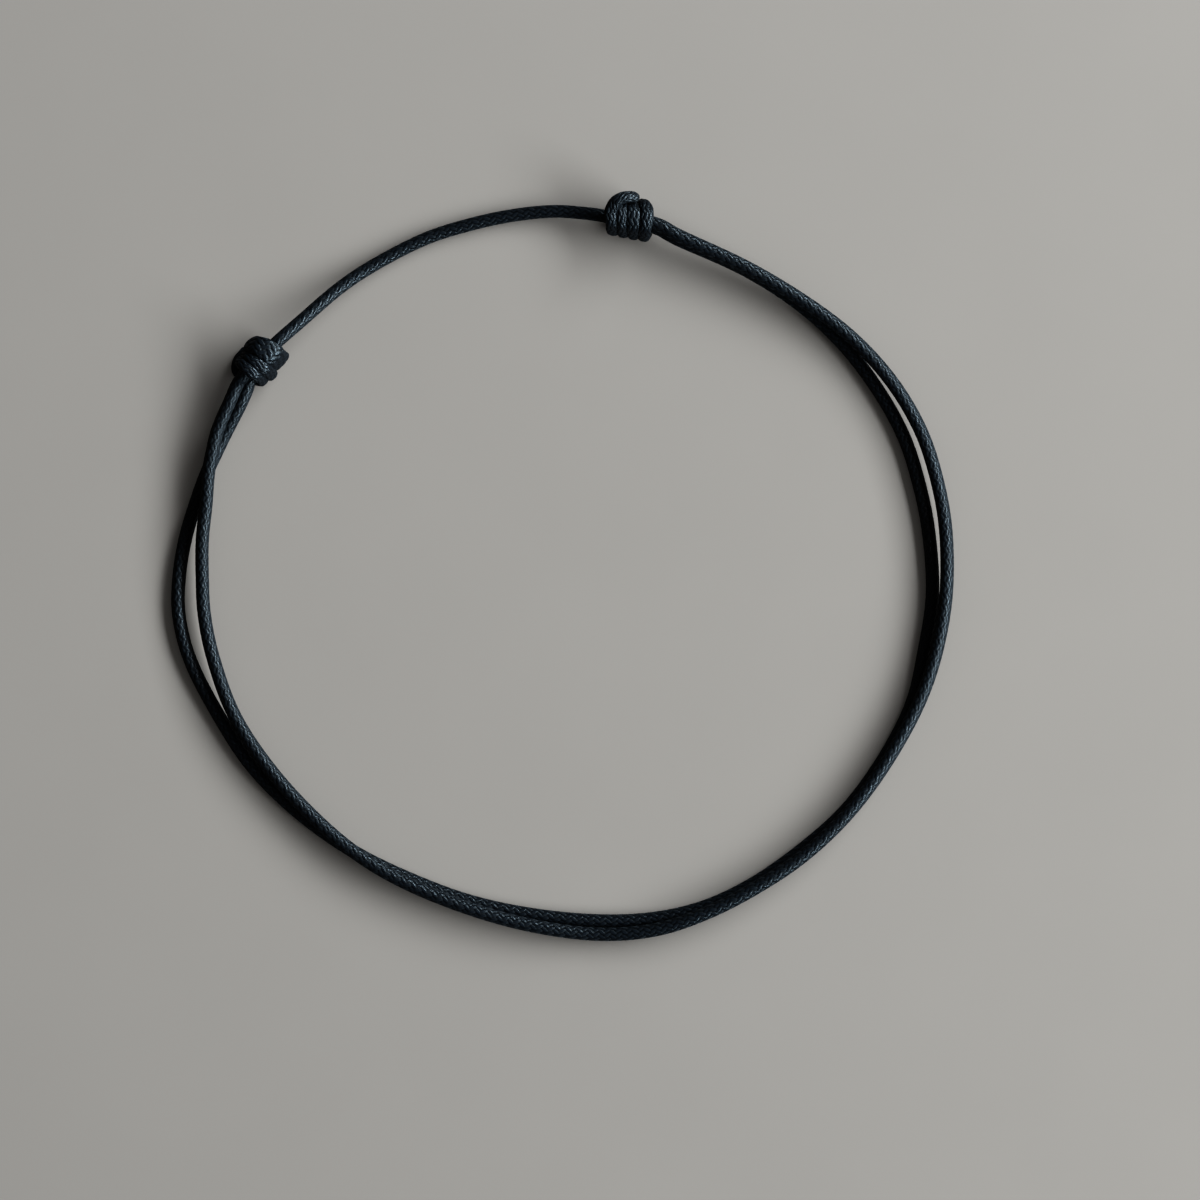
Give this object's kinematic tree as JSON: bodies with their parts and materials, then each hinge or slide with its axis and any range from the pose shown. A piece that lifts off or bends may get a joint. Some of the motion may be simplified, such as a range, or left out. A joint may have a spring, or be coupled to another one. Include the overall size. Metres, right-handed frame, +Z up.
{
  "type": "anklet",
  "caption": "Braided cord anklet lying as a round loop, double for most of its length, drawn larger or smaller by sliding barrel knots tied in its own ends.",
  "frame": {"origin": "on the surface that the anklet lies on, under the middle of its outline", "axes": "+Z up from the surface; +Y towards the knot beside the middle of the single stretch; +X to the right seen from above, across the loop"},
  "size_m": [0.0777, 0.0745, 0.0053],
  "materials": {
    "braided_cord": "waxed round braid, near-black, with a soft blue-grey sheen on the yarns that face the light",
    "knot_wraps": "the same waxed braid pressed flat where it is wound tight, near-black"
  },
  "bodies": {
    "root": {"cord": "braided_cord", "left_knot": "knot_wraps", "top_knot": "knot_wraps"}
  },
  "joints": []
}
